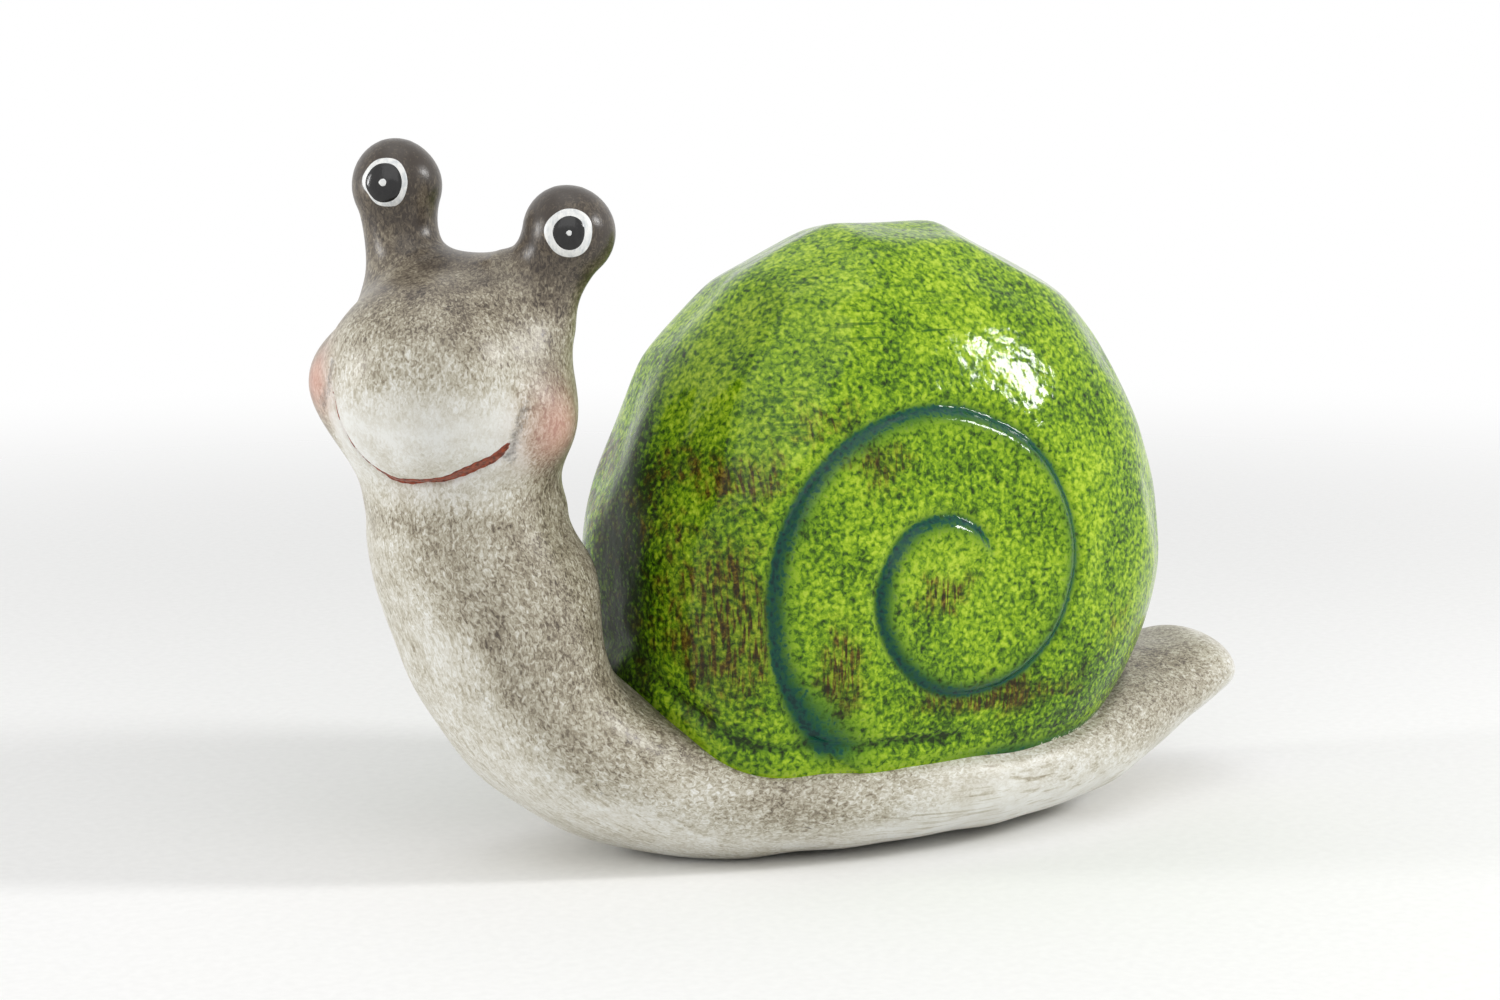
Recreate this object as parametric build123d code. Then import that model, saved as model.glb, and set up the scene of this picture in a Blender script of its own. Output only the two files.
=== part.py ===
from build123d import *

import os
from collections import namedtuple
from math import cos, radians, sin, sqrt

# A hollow ceramic snail ornament, luted together from separate castings before firing.
# Millimetres. +X runs to the tail, -Y is the side that the face turns to, +Z is up.
# The origin is on the flat of the foot, under the middle of the shell.

# Castings, the slip that joins them and the paint on them
WALL = 7.0
SLIP = 0.8
PAINT = 0.4
DRAIN_RADIUS = 8.0
DRAIN_X = -40.0
AIR_RADIUS = 4.0

# Spine of the foot casting, from the tip of the tail to the top of the neck.
# climb is the spine's slope in degrees, where 0 points forward and 90 points up.
Station = namedtuple("Station", "x z climb half_width half_depth")
NECK_RADIUS = 27.7
NECK_TOP = Station(-125.5, 102.0, 90.0, NECK_RADIUS, NECK_RADIUS)
SPINE = [
    Station(133.5, 40.2, -38.0, 8.0, 5.0),
    Station(131.0, 39.2, -38.0, 15.0, 8.2),
    Station(122.5, 36.0, -38.0, 23.0, 12.4),
    Station(103.0, 32.2, -30.0, 29.5, 15.4),
    Station(81.0, 26.6, -18.0, 39.5, 20.0),
    Station(48.0, 21.0, -4.0, 52.0, 21.4),
    Station(8.0, 20.0, 0.0, 57.0, 23.2),
    Station(-32.0, 20.6, 6.0, 54.0, 24.0),
    Station(-71.5, 24.8, 25.0, 41.7, 23.8),
    Station(-105.9, 46.4, 50.0, 33.7, 24.2),
    Station(-118.7, 81.0, 75.0, 30.8, 30.0),
    NECK_TOP,
]
NECK_STATIONS = SPINE[8:]

# Shell: a dome on a fuller belly, cut off flat where it sits in the foot
SHELL_X = 9.5
SHELL_EQUATOR_Z = 80.0
SHELL_HALF_LENGTH = 88.2
SHELL_HALF_WIDTH = 59.0
SHELL_RISE = 102.0
SHELL_DROP = 86.0
SHELL_SEAT_Z = 20.0
DOME_SQUARENESS = 1.93
DOME_FRONT_SQUARENESS = 1.95
BELLY_SQUARENESS = 2.5
FRONT_SQUARENESS = 4.0
REAR_SQUARENESS = 1.66
PLAN_FRONT_SQUARENESS = 2.9
PLAN_REAR_SQUARENESS = 2.48
SHELL_LEVELS = (-0.5, -0.28, 0.0, 0.3, 0.55, 0.75, 0.89, 0.97)
SECTION_POINTS = 24

# Flats that the maker cut round the crown of the shell, in two rows that tilt apart.
# turn runs in degrees from the tail end over the top to the head end.
Flat = namedtuple("Flat", "turn depth")
FLAT_TILT = 14.0
FLATS = [
    Flat(2.0, 2.4),
    Flat(22.0, 3.3),
    Flat(64.0, 3.4),
    Flat(88.0, 3.4),
    Flat(114.0, 2.8),
    Flat(135.0, 2.2),
    Flat(158.0, 3.3),
]

# Spiral groove on each flank, above the shell's middle: half turns that shrink by one step each
GROOVE_RADIUS = 3.0
GROOVE_BEND_RADIUS = 3.7
GROOVE_X = 7.0
GROOVE_RISE = 2.0
GROOVE_OUTER = 63.0
GROOVE_STEP = 15.0
GROOVE_LEAD = 50.0
GROOVE_HALF_TURNS = 3

# Head, in its own frame on top of the neck: forward, left and up
HEAD_TURN = 40.0
Slice = namedtuple("Slice", "up forward left half_depth half_width")
HEAD_SLICES = [
    Slice(0.0, 0.0, 0.0, NECK_RADIUS, NECK_RADIUS),
    Slice(10.0, 1.0, -1.8, 28.0, 28.0),
    Slice(20.0, 4.0, -1.8, 31.0, 33.0),
    Slice(31.0, 6.0, -2.7, 33.5, 37.0),
    Slice(42.0, 6.0, -4.0, 33.0, 36.9),
    Slice(52.0, 4.0, -2.0, 29.0, 33.0),
    Slice(61.0, 2.0, 0.2, 23.0, 26.3),
    Slice(68.5, 1.0, 1.6, 15.0, 17.0),
    Slice(72.5, 0.0, 4.0, 7.0, 8.0),
]
HOLLOW_SLICES = HEAD_SLICES[:-2]
MUZZLE_RADIUS = 30.0
MUZZLE_FORWARD = 16.0
MUZZLE_LEFT = -2.0
MUZZLE_UP = 39.0

# Mouth: a painted groove round the underside of the muzzle.
# It is turned towards the shell, and leans to the far cheek, in degrees.
MOUTH_AHEAD = 17.4
MOUTH_TURN = 15.5
MOUTH_LEAN = -15.0
MOUTH_SPAN = 134.0
MOUTH_GROOVE_RADIUS = 2.0

# Eye stalks, in the head's frame. yaw and pitch are where the eye looks, in degrees.
STALK_ROOT_RADIUS = 16.0
STALK_JOINT_RADIUS = 11.2
STALK_WAIST_RADIUS = 10.4
STALK_WAIST_DROP = 11.5
STALK_BULB_RADIUS = 12.8
STALK_SHOULDER = 30.0
STALK_BOSS_LENGTH = 21.2
Stalk = namedtuple("Stalk", "root bulb yaw pitch")
STALKS = {
    "right": Stalk((2.0, -15.4, 50.0), (0.0, -20.0, 91.0), 9.0, 6.5),
    "left": Stalk((2.0, 15.9, 48.0), (0.0, 31.2, 79.5), 24.0, 3.0),
}
EYE_WHITE_RADIUS = 6.5
PUPIL_RADIUS = 4.7
GLINT_RADIUS = 1.1


def above(z):
    reach = 1000
    return Pos(0, 0, z) * Box(reach, reach, reach, align=(Align.CENTER, Align.CENTER, Align.MIN))


def spine_plane(station):
    climb = radians(station.climb)
    ahead = Vector(-cos(climb), 0, sin(climb))
    return Plane((station.x, 0, station.z), x_dir=(0, 1, 0), z_dir=ahead)


def foot_form(stations, inset):
    rings = [
        spine_plane(s) * Ellipse(s.half_width - inset, s.half_depth - inset)
        for s in stations
    ]
    return loft(rings)


def share(level, squareness):
    return (1 - abs(level) ** squareness) ** (1 / squareness)


def shell_section(level):
    """Front length, rear length and half width of the shell at a level from -1 to 1."""
    if level > 0:
        return (
            SHELL_HALF_LENGTH * share(level, DOME_FRONT_SQUARENESS),
            SHELL_HALF_LENGTH * share(level, DOME_SQUARENESS),
            SHELL_HALF_WIDTH * share(level, DOME_SQUARENESS),
        )
    return (
        SHELL_HALF_LENGTH * share(level, FRONT_SQUARENESS),
        SHELL_HALF_LENGTH * share(level, REAR_SQUARENESS),
        SHELL_HALF_WIDTH * share(level, BELLY_SQUARENESS),
    )


def shell_ring(level, grow):
    front, rear, half_width = shell_section(level)
    height = SHELL_RISE + grow if level > 0 else SHELL_DROP
    points = []
    for i in range(SECTION_POINTS):
        turn = radians(360 * i / SECTION_POINTS)
        ahead = cos(turn) < 0
        power = 2 / (PLAN_FRONT_SQUARENESS if ahead else PLAN_REAR_SQUARENESS)
        along = abs(cos(turn)) ** power
        x = -along * (front + grow) if ahead else along * (rear + grow)
        y = abs(sin(turn)) ** power * (half_width + grow)
        points.append(Vector(SHELL_X + x, y if sin(turn) > 0 else -y, SHELL_EQUATOR_Z + level * height))
    return points


def shell_half(grow, floor_z):
    """The side that the face turns to. The other side is its mirror image."""
    floor_level = (floor_z - SHELL_EQUATOR_Z) / SHELL_DROP
    rings = [
        make_face(Spline(shell_ring(level, grow), periodic=True))
        for level in (floor_level, *SHELL_LEVELS)
    ]
    return split(loft(rings), bisect_by=Plane.XZ, keep=Keep.TOP)


def both_sides(half):
    return half + mirror(half, about=Plane.XZ)


def flank(x, z):
    """The point of the shell's surface at x and z, on the side that the face turns to."""
    level = (z - SHELL_EQUATOR_Z) / (SHELL_RISE if z > SHELL_EQUATOR_Z else SHELL_DROP)
    front, rear, half_width = shell_section(level)
    if x < SHELL_X:
        reach = share((x - SHELL_X) / front, PLAN_FRONT_SQUARENESS)
    else:
        reach = share((x - SHELL_X) / rear, PLAN_REAR_SQUARENESS)
    return Vector(x, -half_width * reach, z)


def flat_cuts():
    """Half spaces that slice the crown, each a set depth inside the shell's own surface."""
    surface = [point for level in SHELL_LEVELS for point in shell_ring(level, 0)]
    reach = 300
    cuts = []
    for tilt in (-FLAT_TILT, FLAT_TILT):
        for flat in FLATS:
            turn = radians(flat.turn)
            lean = radians(tilt)
            normal = Vector(cos(turn) * cos(lean), sin(lean), sin(turn) * cos(lean))
            support = max(normal.dot(point) for point in surface)
            face = Plane(normal * (support - flat.depth), z_dir=normal)
            cuts.append(face * Box(reach, reach, reach, align=(Align.CENTER, Align.CENTER, Align.MIN)))
    return cuts


def groove_tool():
    """A tube along the spiral, half turn by half turn, from the seat in to the middle."""
    turns = [(180 + GROOVE_LEAD, 180)]
    for i in range(GROOVE_HALF_TURNS):
        turns.append((180, 0) if i % 2 == 0 else (0, -180))
    centre_x = GROOVE_X
    centre_z = SHELL_EQUATOR_Z + GROOVE_RISE
    radius = GROOVE_OUTER
    tool = None
    for i, (start, end) in enumerate(turns):
        places = []
        for angle in (start, (start + end) / 2, end):
            turn = radians(angle)
            places.append(flank(centre_x + radius * cos(turn), centre_z + radius * sin(turn)))
        path = ThreePointArc(*places)
        tube = sweep(Plane(path @ 0, z_dir=path % 0) * Circle(GROOVE_RADIUS), path=path)
        tube += Pos(*places[2]) * Sphere(GROOVE_BEND_RADIUS)
        tool = tube if tool is None else tool + tube
        radius -= GROOVE_STEP
        centre_x += GROOVE_STEP if i % 2 else -GROOVE_STEP
    return tool


def make_shell():
    half = shell_half(0, SHELL_SEAT_Z) - shell_half(-WALL, SHELL_SEAT_Z)
    return both_sides(half - flat_cuts() - groove_tool())


def shell_opening():
    level = (SHELL_SEAT_Z - SHELL_EQUATOR_Z) / SHELL_DROP
    return make_face(Spline(shell_ring(level, -WALL), periodic=True))


def foot_blank():
    return foot_form(SPINE, 0) & above(0)


def neck_hollow_back():
    """Where the neck's hollow ends, one wall ahead of the shell's seat."""
    return min(point.X for level in SHELL_LEVELS for point in shell_ring(level, 0)) - SLIP - WALL


def make_foot():
    reach = 1000
    ahead = Box(reach, reach, reach, align=(Align.MAX, Align.CENTER, Align.CENTER))
    hollow = foot_form(NECK_STATIONS, WALL) & Pos(neck_hollow_back(), 0, 0) * ahead
    pocket = both_sides(shell_half(SLIP, SHELL_SEAT_Z - SLIP))
    well = extrude(shell_opening(), SHELL_SEAT_Z - WALL, dir=(0, 0, -1))
    drain = Pos(DRAIN_X, 0, 0) * Cylinder(DRAIN_RADIUS, 3 * WALL)
    air = Pos(neck_hollow_back() - AIR_RADIUS, 0, 0) * Cylinder(AIR_RADIUS, NECK_TOP.z)
    return foot_blank() - pocket - well - hollow - drain - air


def make_shell_slip():
    opening = extrude(shell_opening(), 2 * SLIP, dir=(0, 0, -1))
    bed = shell_half(SLIP, SHELL_SEAT_Z - SLIP) - shell_half(0, SHELL_SEAT_Z) - opening
    return both_sides(bed) & foot_blank()


def head_frame():
    top = spine_plane(NECK_TOP)
    turn = radians(HEAD_TURN)
    facing = Vector(-cos(turn), -sin(turn), 0)
    return Plane(top.origin + top.z_dir * SLIP, x_dir=facing, z_dir=top.z_dir)


def head_form(slices, inset):
    rings = [
        Pos(s.forward, s.left, s.up) * Ellipse(s.half_depth - inset, s.half_width - inset)
        for s in slices
    ]
    return loft(rings)


def stalk_frame(stalk, distance):
    root = Vector(stalk.root)
    along = (Vector(stalk.bulb) - root).normalized()
    return Plane(root + along * distance, z_dir=along)


def stalk_boss(stalk):
    boss = Cone(
        STALK_ROOT_RADIUS,
        STALK_JOINT_RADIUS,
        STALK_BOSS_LENGTH,
        align=(Align.CENTER, Align.CENTER, Align.MIN),
    )
    return stalk_frame(stalk, 0) * boss


def stalk_slip(stalk):
    disc = Cylinder(STALK_JOINT_RADIUS, SLIP, align=(Align.CENTER, Align.CENTER, Align.MIN))
    return stalk_frame(stalk, STALK_BOSS_LENGTH) * disc


def stalk_knob(stalk):
    base = STALK_BOSS_LENGTH + SLIP
    length = (Vector(stalk.bulb) - Vector(stalk.root)).length - base
    low = radians(-STALK_SHOULDER)
    joint = (STALK_JOINT_RADIUS, 0)
    waist = (STALK_WAIST_RADIUS, length - STALK_WAIST_DROP)
    shoulder = (STALK_BULB_RADIUS * cos(low), length + STALK_BULB_RADIUS * sin(low))
    crown = (0, length + STALK_BULB_RADIUS)
    with BuildSketch(Plane.XZ) as profile:
        with BuildLine():
            Polyline(crown, (0, 0), joint)
            Spline(joint, waist, shoulder, tangents=((0, 1), (-sin(low), cos(low))))
            RadiusArc(shoulder, crown, -STALK_BULB_RADIUS)
        make_face()
    return stalk_frame(stalk, base) * revolve(profile.sketch, axis=Axis.Z)


def eye_layer(stalk, layer, radius):
    """One coat of paint on the bulb, over the coats below it."""
    yaw = radians(stalk.yaw)
    pitch = radians(stalk.pitch)
    gaze = Vector(cos(yaw) * cos(pitch), sin(yaw) * cos(pitch), sin(pitch))
    inner = STALK_BULB_RADIUS + layer * PAINT
    coat = Sphere(inner + PAINT) - Sphere(inner)
    beam = Cylinder(radius, 2 * inner, align=(Align.CENTER, Align.CENTER, Align.MIN))
    return Plane(stalk.bulb, z_dir=gaze) * (coat & beam) - stalk_knob(stalk)


def mouth_tube(radius):
    """A tube round the underside of the muzzle, centred on the muzzle's surface."""
    hub = (MUZZLE_FORWARD + MOUTH_AHEAD, MUZZLE_LEFT, MUZZLE_UP)
    lip = sqrt(MUZZLE_RADIUS**2 - MOUTH_AHEAD**2)
    axis = Axis(hub, (1, 0, 0))
    profile = Plane((hub[0], hub[1], hub[2] - lip), x_dir=(1, 0, 0), z_dir=(0, 1, 0)) * Circle(radius)
    tube = revolve(profile, axis=axis, revolution_arc=MOUTH_SPAN).rotate(axis, MOUTH_LEAN - MOUTH_SPAN / 2)
    return tube.rotate(Axis((MUZZLE_FORWARD, MUZZLE_LEFT, MUZZLE_UP), (0, 0, 1)), MOUTH_TURN)


def head_blank():
    blank = head_form(HEAD_SLICES, 0)
    blank += Pos(MUZZLE_FORWARD, MUZZLE_LEFT, MUZZLE_UP) * Sphere(MUZZLE_RADIUS)
    for stalk in STALKS.values():
        blank += stalk_boss(stalk)
    return blank


def make_neck_slip():
    ring = Circle(NECK_RADIUS) - Circle(NECK_RADIUS - WALL)
    return extrude(spine_plane(NECK_TOP) * ring, SLIP)


def write(shape, name):
    export_step(shape, f"parts/{name}.step")


def main():
    os.makedirs("parts", exist_ok=True)
    write(make_foot(), "foot")
    write(make_shell(), "shell")
    write(make_shell_slip(), "shell_slip_joint")
    write(make_neck_slip(), "neck_slip_joint")
    frame = head_frame()
    blank = frame * head_blank()
    groove = frame * mouth_tube(MOUTH_GROOVE_RADIUS)
    bare_groove = frame * mouth_tube(MOUTH_GROOVE_RADIUS - PAINT)
    write(blank - frame * head_form(HOLLOW_SLICES, WALL) - groove, "head")
    write((groove - bare_groove) & blank, "mouth_paint")
    for side, stalk in STALKS.items():
        write(frame * stalk_knob(stalk), f"{side}_eye_stalk")
        write(frame * stalk_slip(stalk), f"{side}_stalk_slip_joint")
        write(frame * eye_layer(stalk, 0, EYE_WHITE_RADIUS), f"{side}_eye_white")
        write(frame * eye_layer(stalk, 1, PUPIL_RADIUS), f"{side}_eye_pupil")
        write(frame * eye_layer(stalk, 2, GLINT_RADIUS), f"{side}_eye_glint")


main()
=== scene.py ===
import math

import bmesh
import bpy
import numpy as np
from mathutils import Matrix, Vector
from mathutils.bvhtree import BVHTree


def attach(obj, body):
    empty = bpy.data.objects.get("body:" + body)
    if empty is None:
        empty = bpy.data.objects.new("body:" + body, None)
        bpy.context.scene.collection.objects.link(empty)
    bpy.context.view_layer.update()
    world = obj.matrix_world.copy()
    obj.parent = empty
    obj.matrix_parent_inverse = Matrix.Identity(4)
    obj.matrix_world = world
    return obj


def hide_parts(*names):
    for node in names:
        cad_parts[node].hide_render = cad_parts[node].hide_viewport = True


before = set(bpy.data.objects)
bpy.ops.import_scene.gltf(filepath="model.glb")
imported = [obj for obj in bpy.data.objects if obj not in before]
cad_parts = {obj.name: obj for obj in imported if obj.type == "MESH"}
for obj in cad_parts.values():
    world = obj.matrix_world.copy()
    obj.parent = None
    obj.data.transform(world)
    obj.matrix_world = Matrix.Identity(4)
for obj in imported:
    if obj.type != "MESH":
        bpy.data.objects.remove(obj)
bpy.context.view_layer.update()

scene = bpy.context.scene
scene.view_settings.view_transform = "Standard"
mm = 0.001  # lengths below are in millimetres, Blender's are in metres
print("frame loaded")


def linear(hexColour):
    parts = [int(hexColour[i:i + 2], 16) / 255 for i in (1, 3, 5)]
    return tuple(c / 12.92 if c <= 0.04045 else ((c + 0.055) / 1.055) ** 2.4 for c in parts) + (1.0,)


# adds a node: values go on its sockets, links come from nodes or sockets, settings are its own properties
def addNode(tree, kind, values=None, links=None, stops=None, **settings):
    made = tree.nodes.new(kind)
    for key, value in settings.items():
        setattr(made, key, value)
    for socket, value in (values or {}).items():
        made.inputs[socket].default_value = value
    for socket, source in (links or {}).items():
        given = source if isinstance(source, bpy.types.NodeSocket) else source.outputs[0]
        tree.links.new(given, made.inputs[socket])
    if stops:
        ramp = made.color_ramp
        while len(ramp.elements) < len(stops):
            ramp.elements.new(1.0)
        for element, (place, colour) in zip(ramp.elements, stops):
            element.position = place
            element.color = linear(colour)
    return made


def newMaterial(name):
    made = bpy.data.materials.new(name)
    made.use_nodes = True
    made.node_tree.nodes.clear()
    return made, made.node_tree


def makePiece(name, points, faces, material=None):
    mesh = bpy.data.meshes.new(name)
    mesh.from_pydata((np.asarray(points) * mm).tolist(), [], [list(map(int, f)) for f in faces])
    mesh.update()
    piece = bpy.data.objects.new(name, mesh)
    scene.collection.objects.link(piece)
    if material:
        mesh.materials.append(material)
    mesh.polygons.foreach_set("use_smooth", [True] * len(mesh.polygons))
    return piece


def readPoints(mesh):
    flat = np.empty(len(mesh.vertices) * 3)
    mesh.vertices.foreach_get("co", flat)
    return flat.reshape(-1, 3) / mm


def writePoints(mesh, points):
    mesh.vertices.foreach_set("co", (np.asarray(points) * mm).ravel())
    mesh.update()


def readNormals(mesh):
    flat = np.empty(len(mesh.vertices) * 3)
    mesh.vertices.foreach_get("normal", flat)
    return flat.reshape(-1, 3)


def readNumbers(mesh, name):
    numbers = np.empty(len(mesh.vertices), dtype=np.float32)
    mesh.attributes[name].data.foreach_get("value", numbers)
    return numbers.astype(float)


def storeNumbers(mesh, name, numbers):
    layer = mesh.attributes.new(name, "FLOAT", "POINT")
    layer.data.foreach_set("value", np.asarray(numbers, dtype=np.float32))


def storeVectors(mesh, name, vectors):
    layer = mesh.attributes.new(name, "FLOAT_VECTOR", "POINT")
    layer.data.foreach_set("vector", np.asarray(vectors, dtype=np.float32).ravel())


def ease(low, high, x):
    t = np.clip((x - low) / (high - low), 0, 1)
    return t * t * (3 - 2 * t)


# smooth curve through rows of numbers, spaced by the distance in the named columns
def smoothRows(rows, count, along):
    rows = np.array(rows, float)
    u = np.concatenate(([0.0], np.cumsum(np.linalg.norm(np.diff(rows[:, along], axis=0), axis=1))))
    h = np.diff(u)
    last = len(u) - 1
    left, right = np.eye(last + 1), np.zeros_like(rows)
    for i in range(1, last):
        left[i, i - 1:i + 2] = h[i - 1], 2 * (h[i - 1] + h[i]), h[i]
        right[i] = 6 * ((rows[i + 1] - rows[i]) / h[i] - (rows[i] - rows[i - 1]) / h[i - 1])
    bend = np.linalg.solve(left, right)
    t = np.linspace(0, u[-1], count)
    k = np.clip(np.searchsorted(u, t, side="right") - 1, 0, last - 1)
    a, b, w = (u[k + 1] - t)[:, None], (t - u[k])[:, None], h[k][:, None]
    return ((bend[k] * a ** 3 + bend[k + 1] * b ** 3) / (6 * w) + (rows[k] / w - bend[k] * w / 6) * a
            + (rows[k + 1] / w - bend[k + 1] * w / 6) * b)


# closed tube from rings of points, with a fan at each end
def tubeFaces(ringCount, sides, start=0):
    faces = []
    for i in range(ringCount - 1):
        for j in range(sides):
            k = (j + 1) % sides
            faces.append((start + i * sides + j, start + i * sides + k,
                          start + (i + 1) * sides + k, start + (i + 1) * sides + j))
    faces.append([start + j for j in reversed(range(sides))])
    faces.append([start + (ringCount - 1) * sides + j for j in range(sides)])
    return faces


def ellipseRings(centres, across, up, halfAcross, halfUp, sides):
    turn = np.linspace(0, 2 * math.pi, sides, endpoint=False)
    return (centres[:, None] + np.cos(turn)[None, :, None] * (across * halfAcross[:, None])[:, None]
            + np.sin(turn)[None, :, None] * (up * halfUp[:, None])[:, None]).reshape(-1, 3)


# mean of each point's neighbours
def neighbourMean(points, edges):
    count = len(points)
    degree = np.maximum(np.bincount(edges.ravel(), minlength=count), 1)
    columns = [(np.bincount(edges[:, 0], points[edges[:, 1], axis], count)
                + np.bincount(edges[:, 1], points[edges[:, 0], axis], count)) / degree for axis in range(3)]
    return np.stack(columns, axis=1)


# distance to a line of points, and how far along it the nearest place is
def lineDistance(points, line):
    best = np.full(len(points), 1e9)
    place = np.zeros(len(points))
    for i in range(len(line) - 1):
        a, b = line[i], line[i + 1]
        t = np.clip(((points - a) @ (b - a)) / ((b - a) @ (b - a)), 0, 1)
        d = np.linalg.norm(points - a - t[:, None] * (b - a), axis=1)
        near = d < best
        best = np.where(near, d, best)
        place = np.where(near, (i + t) / (len(line) - 1), place)
    return best, place


# slow hand-made unevenness, the same on every run
def wander(points, size, seed):
    rng = np.random.default_rng(seed)
    total = np.zeros(len(points))
    for _ in range(7):
        way = rng.normal(size=3)
        way /= np.linalg.norm(way)
        total += np.sin(points @ way * 2 * math.pi / (size * rng.uniform(0.7, 1.4)) + rng.uniform(0, 6.28))
    return total / 7 ** 0.5


cameraPlace = {"eye": (-543.2, -880.86, 260.73), "aim": (-18.5, 27.97, 94.52), "lens": 85, "sensor": 36}
cameraData = bpy.data.cameras.new("photoCamera")
cameraData.lens = cameraPlace["lens"]
cameraData.sensor_width = cameraPlace["sensor"]
cameraData.sensor_fit = "HORIZONTAL"
camera = bpy.data.objects.new("photoCamera", cameraData)
scene.collection.objects.link(camera)
camera.location = Vector(cameraPlace["eye"]) * mm
toAim = Vector(cameraPlace["aim"]) - Vector(cameraPlace["eye"])
camera.rotation_euler = toAim.to_track_quat("-Z", "Y").to_euler()
scene.camera = camera
print("camera set")

# shell: a flattened dome over a fuller belly, with flats pared round the crown
shellForm = {
    "centre": (9.5, 0.0, 80.0),
    "halfLength": 88.2, "halfWidth": 59.0, "rise": 102.0, "drop": 86.0, "seat": 20.0,
    "domeRear": 1.93, "domeFront": 1.95, "belly": 2.5, "bellyFront": 4.0, "bellyRear": 1.66,
    "planFront": 2.9, "planRear": 2.48,
    # turn from the tail end over the top, tilt to the side and depth of each flat, the same on both sides
    "flats": [(2, 14, 2.4), (22, 14, 3.3), (64, 14, 3.4), (88, 14, 3.4), (114, 14, 2.8), (135, 14, 2.2),
              (158, 14, 3.3), (38, 38, 1.4), (76, 42, 1.5), (104, 36, 1.3), (128, 44, 1.5), (150, 40, 1.2),
              (12, 44, 1.2)],
    "edgeSoftness": 0.006, "unevenness": 0.3,
    "around": 370, "flankRings": 74, "crownRings": 112, "flankEnd": 47.0,
    "raySizes": (90.0, 59.0, 95.0),
}
shellCentre = np.array(shellForm["centre"])


def shareOf(level, power):
    return np.clip(1 - np.abs(level) ** power, 0, 1) ** (1 / power)


# below 1 inside the shell's plain form, above 1 outside it
def shellFill(points):
    f = shellForm
    x, y, z = (points - shellCentre).T
    up = z > 0
    level = np.clip(np.where(up, z / f["rise"], z / f["drop"]), -0.9999, 0.9999)
    front = np.where(up, shareOf(level, f["domeFront"]), shareOf(level, f["bellyFront"])) * f["halfLength"]
    rear = np.where(up, shareOf(level, f["domeRear"]), shareOf(level, f["bellyRear"])) * f["halfLength"]
    wide = np.where(up, shareOf(level, f["domeRear"]), shareOf(level, f["belly"])) * f["halfWidth"]
    power = np.where(x < 0, f["planFront"], f["planRear"])
    along = np.abs(x) / np.maximum(np.where(x < 0, front, rear), 1e-6)
    across = np.abs(y) / np.maximum(wide, 1e-6)
    return np.where(np.abs(z) > np.where(up, f["rise"], f["drop"]), 9.0, along ** power + across ** power)


# where rays from the shell's middle leave the plain form, as a multiple of the ray
def shellReach(rays):
    low, high = np.zeros(len(rays)), np.full(len(rays), 3.0)
    for _ in range(34):
        middle = (low + high) / 2
        inside = shellFill(shellCentre + rays * middle[:, None]) < 1
        low, high = np.where(inside, middle, low), np.where(inside, high, middle)
    return low


flankTurns = np.linspace(0.004, math.radians(shellForm["flankEnd"]), shellForm["flankRings"])
crownTurns = np.linspace(flankTurns[-1], math.pi - flankTurns[-1], shellForm["crownRings"] + 2)[1:-1]
polar = np.concatenate((flankTurns, crownTurns, math.pi - flankTurns[::-1]))
around = np.linspace(0, 2 * math.pi, shellForm["around"], endpoint=False)
polarGrid, aroundGrid = np.meshgrid(polar, around, indexing="ij")
shellRays = np.stack((np.sin(polarGrid) * np.cos(aroundGrid), -np.cos(polarGrid),
                      np.sin(polarGrid) * np.sin(aroundGrid)), axis=-1).reshape(-1, 3) * shellForm["raySizes"]
plainReach = shellReach(shellRays)
plainShell = shellCentre + shellRays * plainReach[:, None]
softPower = 1 / shellForm["edgeSoftness"]
reachSum = np.exp(-softPower * (plainReach - 1))
for turn, tilt, depth in shellForm["flats"]:
    turn = math.radians(turn)
    for lean in (math.radians(tilt), -math.radians(tilt)):
        normal = np.array((math.cos(turn) * math.cos(lean), math.sin(lean), math.sin(turn) * math.cos(lean)))
        offset = (plainShell @ normal).max() - depth
        toward = shellRays @ normal
        planeReach = np.where(toward > 1, (offset - shellCentre @ normal) / np.maximum(toward, 1), 9.0)
        reachSum += np.exp(-softPower * (planeReach - 1))
shellPoints = shellCentre + shellRays * (1 - np.log(reachSum) / softPower)[:, None]
shellPoints[:, 2] = np.maximum(shellPoints[:, 2], shellForm["seat"])
outward = shellRays / np.linalg.norm(shellRays, axis=1)[:, None]
shellPoints += outward * (wander(shellPoints, 34, 3) * shellForm["unevenness"])[:, None]
shellFaces = [f[::-1] for f in tubeFaces(len(polar), shellForm["around"])]
shell = makePiece("shell_glazed", shellPoints, shellFaces)
print("shell form", len(shellPoints), "points")

# the spiral on the flanks follows a rule, so nodes press it into the shell
whorlSizes = {
    "Apex": (0.0, 0.0, 82.0 * mm), "Start Angle": math.radians(230), "Turns": 590 / 360,
    "Outer Radius": 60.2 * mm, "Inner Radius": 10.0 * mm,
    "Groove Depth": 1.7 * mm, "Groove Width": 2.2 * mm, "Fan": 1.6,
    "Whorl Rise": 2.0 * mm, "Whorl Reach": 9.0 * mm, "Hand Wobble": 2.2 * mm,
}


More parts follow.
